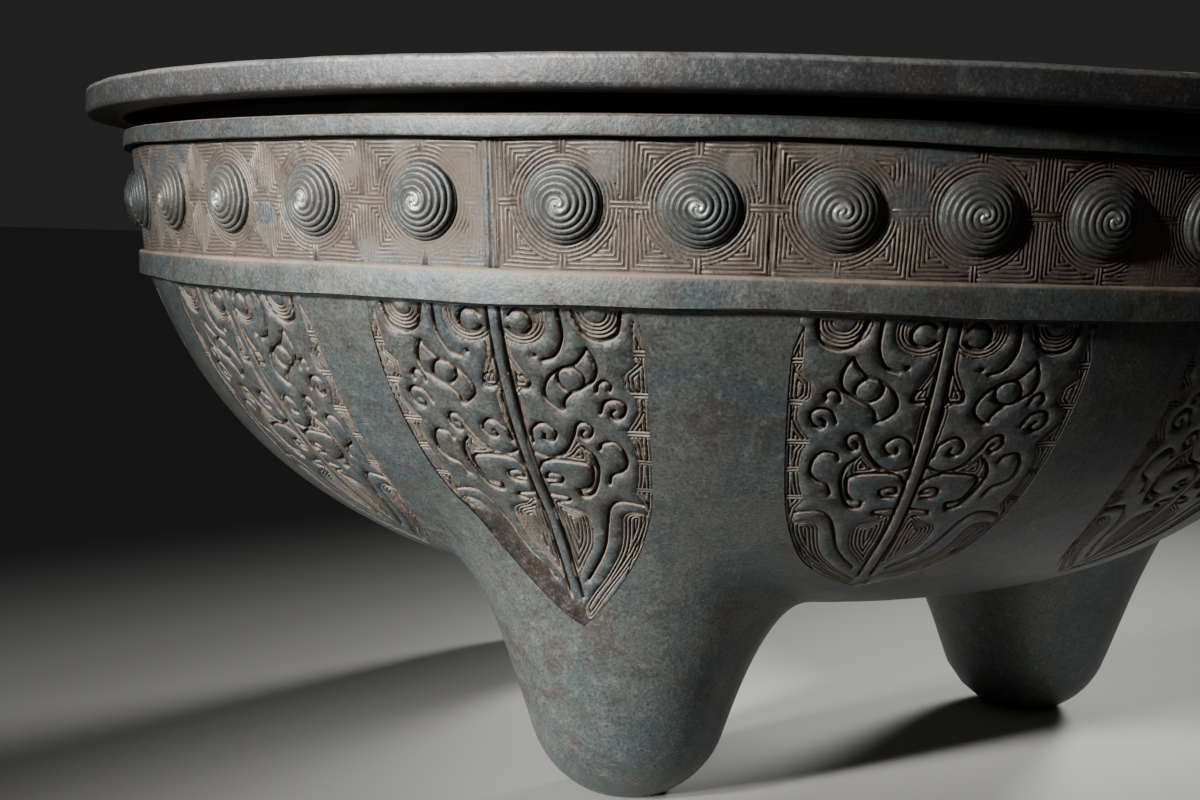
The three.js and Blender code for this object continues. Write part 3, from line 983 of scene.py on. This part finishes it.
def nested_arcs(x, y, lift, centre, inner, outer, from_angle, to_angle):
    """Nested arcs of fine lines in part of a ring."""
    distance = np.hypot(x - centre[0], y - centre[1])
    angle = np.degrees(np.arctan2(y - centre[1], x - centre[0]))
    zone = (distance > inner) & (distance < outer) & (angle > from_angle) & (angle < to_angle)
    lift[zone] = np.minimum(lift[zone], fine_lines(outer - distance)[zone])


def cut(x, y, lift, line, width=CUT_WIDTH, depth=CUT_DEPTH):
    """Cuts a V-shaped groove along a line."""
    near = near_line(x, y, line, width)
    distance = distance_to_line(x[near], y[near], line)
    groove = -depth * np.clip(1.5 - 1.4 * distance / (0.5 * width), 0, 1)
    lift[near] = np.minimum(lift[near], groove)


def blade_lift(across, down):
    """How far a blade's front lies under the plain wall, in its flat state."""
    flat = sheet_points(across, down)
    x = np.abs(across + 0.3 * unevenness(flat, 12, 31))
    y = down + 0.3 * unevenness(flat, 12, 32)
    lift = np.full(len(x), -FACE_DEPTH)
    border_outside = curve_through(BLADE_EDGE)[CURVE_STEPS : 7 * CURVE_STEPS]
    sunk_fill(x, y, lift, np.concatenate([border_outside, BORDER_INSIDE]), bars_at=BORDER_BARS)
    for zone in (FEATHER, FOOT_FILL, BELL_FILL, CHANNEL_FILL, TEARDROP_FILL):
        sunk_fill(x, y, lift, curve_through(zone, closed=True))
    sunk_fill(x, y, lift, np.array(HEAD_FILL, float))
    for ring in NESTED_ARCS:
        nested_arcs(x, y, lift, *ring)
    for line in BLADE_CUTS:
        cut(x, y, lift, curve_through(line))
    for width, *shape in CUT_ARCS:
        cut(x, y, lift, curve_through(arc(*shape)), width)
    cut(x, y, lift, np.array(RIB_SIDE, float), RIB_CUT, RIB_CUT)
    return lift


def bow(points):
    """The bend that a flat blade borrows from the wall while it is thinned out."""
    down = points[:, 1] + BLADE_LENGTH / 2
    return -points[:, 0] ** 2 / (2 * WALL_RADIUS) - down**2 / (2 * ARC_RADIUS)


def make_flat_blade():
    """One blade as a flat closed shell: +Y is up the wall and +Z is out of it."""
    margin = 1.6
    back = -3.6
    low, high = (-54, -150), (54, 2)
    blade = flat_grid("blade", low, high, BLADE_STEP)
    points = points_of(blade)
    outside = ~inside_line(points[:, 0], -points[:, 1], edge_line(margin))
    in_edit_mode(blade, lambda: bpy.ops.mesh.delete(type="VERT"), outside)
    apply_modifier(blade, "SOLIDIFY", thickness=1 * MM, offset=-1)
    points = points_of(blade)
    x, y = points[:, 0], -points[:, 1]
    front = points[:, 2] > -0.5
    from_edge = distance_to_line(x, y, edge_line(), closed=True)
    beyond = np.where(inside_line(x, y, edge_line()), 0, smoothstep(0, 0.4, from_edge))
    lift = np.minimum(blade_lift(x, y), -GROUND_DEPTH * beyond)
    points[:, 2] = np.where(front, lift, back) + bow(points)
    move_points(blade, points)
    thin_out(blade, BLADE_TRIANGLES)
    points = points_of(blade)
    points[:, 2] -= bow(points)
    move_points(blade, points)
    return blade


def make_cutter():
    """The room of one blade in the wall, flat: a closed prism in strips that can bend."""
    high = 3.0
    strip_sides = range(-45, 46, 9)
    strip_ends = range(-138, 0, 6)
    edge = edge_line()
    mesh = bpy.data.meshes.new("cutter")
    mesh.from_pydata([(x * MM, -y * MM, -BLADE_SINK * MM) for x, y in edge], [], [list(range(len(edge)))])
    cutter = new_object("cutter", mesh)

    def divide(spots, axis):
        for spot in spots:
            bpy.ops.mesh.select_all(action="SELECT")
            bpy.ops.mesh.bisect(plane_co=[spot * MM * share for share in axis], plane_no=axis)

    def raise_and_divide():
        bpy.ops.mesh.extrude_region_move(TRANSFORM_OT_translate={"value": (0, 0, (high + BLADE_SINK) * MM)})
        divide(strip_sides, (1, 0, 0))
        divide(strip_ends, (0, 1, 0))
        bpy.ops.mesh.select_all(action="SELECT")
        bpy.ops.mesh.normals_make_consistent(inside=False)

    in_edit_mode(cutter, raise_and_divide)
    return cutter


def crust_on_foot(points):
    """Where a brown crust fills the lines of the blade over the front foot, along its lower left edge."""
    across, down = points[:, 0], -points[:, 1]
    flat = sheet_points(across, down)
    edge = curve_through(BLADE_EDGE)[4 * CURVE_STEPS :] * (-1, 1)
    inward = distance_to_line(across, down, edge)
    inward = inward + 4 * unevenness(flat, 7, 51) + 1.5 * unevenness(flat, 2.5, 52)
    return smoothstep(14, 8, inward) * smoothstep(88, 102, down) * smoothstep(4, -2, across)


def crusted_lift(points, crust):
    """The lift of a flat blade's points, with the lines of its front filled where the crust is."""
    lift = points[:, 2]
    front = lift > -GROUND_DEPTH - CUT_DEPTH
    filled = 0.5 * unevenness(points, 1.5, 53) + 0.4 * unevenness(points, 4, 54) - 0.4
    return np.where(front, lift + (filled - lift) * 0.85 * crust, lift)


def bent(piece, name, azimuth, lift=None):
    """A copy of a flat piece, bent to the wall at a blade's azimuth. Over a foot its tip leans a little."""
    lean_start = 90
    copy = copy_of(piece, name)
    points = points_of(copy)
    across, down = points[:, 0], -points[:, 1]
    if azimuth % THIRD == 0:
        share = np.clip((down - lean_start) / (BLADE_LENGTH - lean_start), 0, 1.1)
        across = across + TIP_LEAN * share**1.4
    place = blade_placer(azimuth)
    move_points(copy, place(across, down, points[:, 2] if lift is None else lift))
    return copy


def make_blades():
    """The blades, and the rooms that are cut out of the wall for them."""
    flat = make_flat_blade()
    cutter = make_cutter()
    points = points_of(flat)
    # The deeper the front lies, the more earth and then dark grime it gets, which is partly painted shade.
    hollow = (-points[:, 2] - 0.16) / 1.1
    blades, rooms = [], []
    azimuths = [THIRD * third + azimuth for third in range(3) for azimuth in BLADE_AZIMUTHS]
    for number, azimuth in enumerate(azimuths, 1):
        crust = crust_on_foot(points) * (number == 1)
        blade = bent(flat, f"blade_{number:02d}", azimuth, crusted_lift(points, crust))
        set_mask(blade, "recess", hollow * (1 - crust))
        set_mask(blade, "second_patina", crust)
        blades.append(blade)
        rooms.append(bent(cutter, f"room_{number:02d}", azimuth))
    bpy.data.objects.remove(flat)
    bpy.data.objects.remove(cutter)
    return blades, joined(rooms, "blade_rooms")


def sink_blades(body, rooms):
    """Cuts the blades' rooms out of the wall."""
    apply_modifier(body, "BOOLEAN", operation="DIFFERENCE", object=rooms, solver="MANIFOLD")
    bpy.data.objects.remove(rooms)


# Finish


def feed(tree, socket, value):
    """Links a socket to another one or gives it a plain value: a number, or red, green and blue."""
    if isinstance(value, bpy.types.NodeSocket):
        tree.links.new(value, socket)
    else:
        socket.default_value = (*value, 1) if isinstance(value, tuple) else value


def new_node(tree, kind, **settings):
    """A node whose settings and inputs are given by name."""
    node = tree.nodes.new(kind)
    for name, value in settings.items():
        if name in node.inputs:
            feed(tree, node.inputs[name], value)
        else:
            setattr(node, name, value)
    return node


def bumps(tree, scale, detail, roughness, distortion=0.0):
    """The value of a noise pattern over the surface."""
    where = new_node(tree, "ShaderNodeTexCoord").outputs["Object"]
    look = {"Scale": scale, "Detail": detail, "Roughness": roughness, "Distortion": distortion}
    return new_node(tree, "ShaderNodeTexNoise", Vector=where, **look).outputs["Fac"]


def between(tree, value, low, high, to_low=0.0, to_high=1.0):
    """A value mapped smoothly from one range to another."""
    ranges = {"From Min": low, "From Max": high, "To Min": to_low, "To Max": to_high}
    node = new_node(tree, "ShaderNodeMapRange", interpolation_type="SMOOTHSTEP", Value=value, **ranges)
    return node.outputs["Result"]


def maths(tree, operation, *values):
    node = new_node(tree, "ShaderNodeMath", operation=operation)
    for socket, value in zip(node.inputs, values):
        feed(tree, socket, value)
    return node.outputs[0]


def weighted(tree, base, *parts):
    """A base number and some values by their weights, added up."""
    total = base
    for value, weight in parts:
        total = maths(tree, "MULTIPLY_ADD", value, weight, total)
    return total


def mixed(tree, share, a, b, kind="RGBA"):
    """Two colours mixed by a share, or two numbers where kind is VALUE."""
    node = new_node(tree, "ShaderNodeMix", data_type="FLOAT" if kind == "VALUE" else kind, Factor=share)
    ends = [socket for socket in node.inputs if socket.type == kind and socket.name in ("A", "B")]
    for socket, value in zip(ends, (a, b)):
        feed(tree, socket, value)
    return next(socket for socket in node.outputs if socket.type == kind)


def new_group(name, inputs, outputs):
    """A node group and its inputs, where red, green and blue make a colour's socket."""
    group = bpy.data.node_groups.new(name, "ShaderNodeTree")
    kinds = {True: "NodeSocketColor", False: "NodeSocketFloat"}
    for label, value in inputs.items():
        kind = kinds[isinstance(value, tuple)]
        feed(group, group.interface.new_socket(label, in_out="INPUT", socket_type=kind), value)
    for label in outputs:
        group.interface.new_socket(label, in_out="OUTPUT", socket_type=kinds[label == "Color"])
    return group, group.nodes.new("NodeGroupInput").outputs


def patina_group():
    """Mottled grey-green patina with blue-grey clouds, brown stains, and pale and dark grains."""
    colours = {
        "Green": (0.102, 0.107, 0.096), "Blue": (0.070, 0.089, 0.090), "Brown": (0.072, 0.060, 0.052),
        "Pale": (0.21, 0.22, 0.20), "Dark": (0.035, 0.038, 0.036),
    }
    group, given = new_group("mottled_patina", colours, ("Color", "Roughness", "Height"))
    clouds = bumps(group, 22, 6, 0.64, 0.7)
    stains = bumps(group, 60, 7, 0.68, 0.9)
    mottles = bumps(group, 160, 6, 0.7, 0.3)
    grains = bumps(group, 900, 4, 0.65)
    pale_mottles = between(group, mottles, 0.5, 0.72, to_high=0.42)
    pale_grains = between(group, grains, 0.52, 0.7, to_high=0.45)
    layers = {
        "Blue": between(group, clouds, 0.43, 0.6),
        "Brown": between(group, stains, 0.49, 0.64, to_high=0.8),
        "Pale": maths(group, "ADD", pale_mottles, pale_grains),
        "Dark": between(group, grains, 0.48, 0.34, to_high=0.7),
    }
    colour = given["Green"]
    for name, share in layers.items():
        colour = mixed(group, share, colour, given[name])
    roughness = weighted(group, 0.28, (mottles, 0.22), (grains, 0.16))
    height = weighted(group, 0, (mottles, 0.7), (grains, 0.3), (stains, 0.8))
    new_node(group, "NodeGroupOutput", Color=colour, Roughness=roughness, Height=height)
    return group


def dirt_and_shade_group():
    """Earth on the walls of the relief, and dark grime at the bottom of its hollows that is partly painted
    shade.
    The same dark colour paints the shade in the body's neck and under its flanges.
    """
    inputs = {"Color": GREY, "Roughness": 0.5, "Earth": GREY, "Grime": GREY, "Recess": 0.0}
    group, given = new_group("earth_and_shade_in_hollows", inputs, ("Color", "Roughness"))
    patchy = between(group, bumps(group, 55, 6, 0.7), 0.32, 0.6, 0.4, 1.0)
    earth = maths(group, "MULTIPLY", between(group, given["Recess"], 0.05, 0.3), patchy)
    # Grime and painted shade: where the recess mask is high, the colour turns to the dark grime colour.
    grime_and_shade = between(group, given["Recess"], 0.38, 0.8, to_high=0.93)
    colour = mixed(group, earth, given["Color"], given["Earth"])
    colour = mixed(group, grime_and_shade, colour, given["Grime"])
    roughness = weighted(group, given["Roughness"], (earth, 0.35))
    new_node(group, "NodeGroupOutput", Color=colour, Roughness=maths(group, "MINIMUM", roughness, 0.95))
    return group


def wear_group():
    """Bare metal where hands have rubbed the patina away."""
    inputs = {"Color": GREY, "Roughness": 0.5, "Metal": (0.80, 0.79, 0.74), "Wear": 0.0}
    group, given = new_group("rubbed_metal", inputs, ("Color", "Roughness", "Metallic"))
    broken = between(group, bumps(group, 330, 5, 0.7), 0.35, 0.6, 0.25, 1.0)
    wear = maths(group, "MULTIPLY", given["Wear"], broken)
    colour = mixed(group, wear, given["Color"], given["Metal"])
    roughness = mixed(group, wear, given["Roughness"], 0.3, kind="VALUE")
    metallic = between(group, wear, 0, 1, 0.42, 0.9)
    new_node(group, "NodeGroupOutput", Color=colour, Roughness=roughness, Metallic=metallic)
    return group


def bronze_finish(name, groups, earth, grime_and_shade, patina=None, second=None, bump=0.32):
    """A bronze material of patina, earth in the hollows, dark grime and painted shade at their bottoms and
    under the flanges, and rubbed metal.

    patina and second name colours: the patina's own, and those that the second_patina mask brings.
    """
    material = bpy.data.materials.new(name)
    material.use_nodes = True
    tree = material.node_tree
    shader = tree.nodes["Principled BSDF"]

    def mask(label):
        return new_node(tree, "ShaderNodeAttribute", attribute_name=label).outputs["Fac"]

    def coat(group, under, **values):
        passed = {label: under.outputs[label] for label in ("Color", "Roughness")}
        return new_node(tree, "ShaderNodeGroup", node_tree=groups[group], **passed, **values)

    skin = new_node(tree, "ShaderNodeGroup", node_tree=groups["patina"], **(patina or {}))
    share = mask("second_patina")
    for label, colour in (second or {}).items():
        socket = skin.inputs[label]
        feed(tree, socket, mixed(tree, share, tuple(socket.default_value)[:3], colour))
    # Earth, and a dark grime colour that also paints shade, come from the recess mask.
    dirt_and_shade_coat = coat("dirt_and_shade", skin, Earth=earth, Grime=grime_and_shade, Recess=mask("recess"))
    rubbed = coat("wear", dirt_and_shade_coat, Wear=mask("wear"))
    relief = new_node(tree, "ShaderNodeBump", Strength=bump, Distance=0.0012, Height=skin.outputs["Height"])
    feed(tree, shader.inputs["Base Color"], rubbed.outputs["Color"])
    feed(tree, shader.inputs["Roughness"], rubbed.outputs["Roughness"])
    feed(tree, shader.inputs["Metallic"], rubbed.outputs["Metallic"])
    feed(tree, shader.inputs["Normal"], relief.outputs["Normal"])
    return material


def finish_of(piece, material):
    piece.data.materials.clear()
    piece.data.materials.append(material)
    activate(piece)
    bpy.ops.object.shade_smooth()


# Studio


def make_camera():
    level = math.cos(CAMERA_PITCH)
    forward = Vector((math.sin(CAMERA_YAW) * level, math.cos(CAMERA_YAW) * level, math.sin(CAMERA_PITCH)))
    sideways = forward.cross(Vector((0, 0, 1))).normalized()
    upright = sideways.cross(forward)
    right = math.cos(CAMERA_ROLL) * sideways + math.sin(CAMERA_ROLL) * upright
    up = math.cos(CAMERA_ROLL) * upright - math.sin(CAMERA_ROLL) * sideways
    turn = Matrix.Rotation(math.radians(CAMERA_AZIMUTH), 4, "Z")
    axes = Matrix((right, up, -forward)).transposed().to_4x4()
    data = bpy.data.cameras.new("camera")
    data.lens = LENS
    data.sensor_width = SENSOR
    data.clip_start = 0.01
    camera = new_object("camera", data)
    camera.matrix_world = turn @ Matrix.Translation((0, -CAMERA_DISTANCE * MM, CAMERA_HEIGHT * MM)) @ axes
    bpy.context.scene.camera = camera


def make_light(name, azimuth, elevation, target, size, power, spread):
    """A square soft light at a distance of LIGHT_DISTANCE from what it is aimed at."""
    data = bpy.data.lights.new(name, "AREA")
    data.size = size * MM
    data.energy = power
    data.spread = math.radians(spread)
    light = new_object(name, data)
    rise = math.radians(elevation)
    aim = Vector(around(*target)) * MM
    away = around(azimuth, LIGHT_DISTANCE * math.cos(rise), LIGHT_DISTANCE * math.sin(rise))
    light.location = aim + Vector(away) * MM
    light.rotation_euler = (aim - light.location).to_track_quat("-Z", "Y").to_euler()
    light.visible_camera = False


def make_studio():
    deselect_all()
    bpy.ops.mesh.primitive_plane_add(size=FLOOR_SIZE, location=(0, 0, -FLOOR_GAP * MM))
    floor = bpy.context.object
    floor.name = "floor"
    material = bpy.data.materials.new("pale_floor")
    material.use_nodes = True
    shader = material.node_tree.nodes["Principled BSDF"]
    shader.inputs["Base Color"].default_value = (0.52, 0.51, 0.49, 1)
    shader.inputs["Roughness"].default_value = 0.8
    floor.data.materials.append(material)
    world = bpy.data.worlds.new("studio")
    bpy.context.scene.world = world
    world.use_nodes = True
    background = world.node_tree.nodes["Background"]
    background.inputs["Color"].default_value = (0.80, 0.82, 0.84, 1)
    background.inputs["Strength"].default_value = 0.025
    for light in LIGHTS:
        make_light(*light)


make_camera()
make_studio()
body = make_body()
blades, rooms = make_blades()
sink_blades(body, joined([rooms, make_chip()], "blade_rooms"))
mark_body(body)
band_pieces = make_band()

groups = {"patina": patina_group(), "dirt_and_shade": dirt_and_shade_group(), "wear": wear_group()}
finishes = {name: bronze_finish(name, groups, **looks) for name, looks in FINISHES.items()}
finish_of(body, finishes["wall_bronze"])
bpy.ops.object.shade_smooth_by_angle(angle=math.radians(35))
for blade in blades:
    finish_of(blade, finishes["relief_bronze"])
for piece in band_pieces:
    finish_of(piece, finishes["band_bronze" if piece.name.startswith("band") else "boss_bronze"])

for piece in [body, *blades, *band_pieces]:
    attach(piece, "root")
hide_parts("ding_vessel")
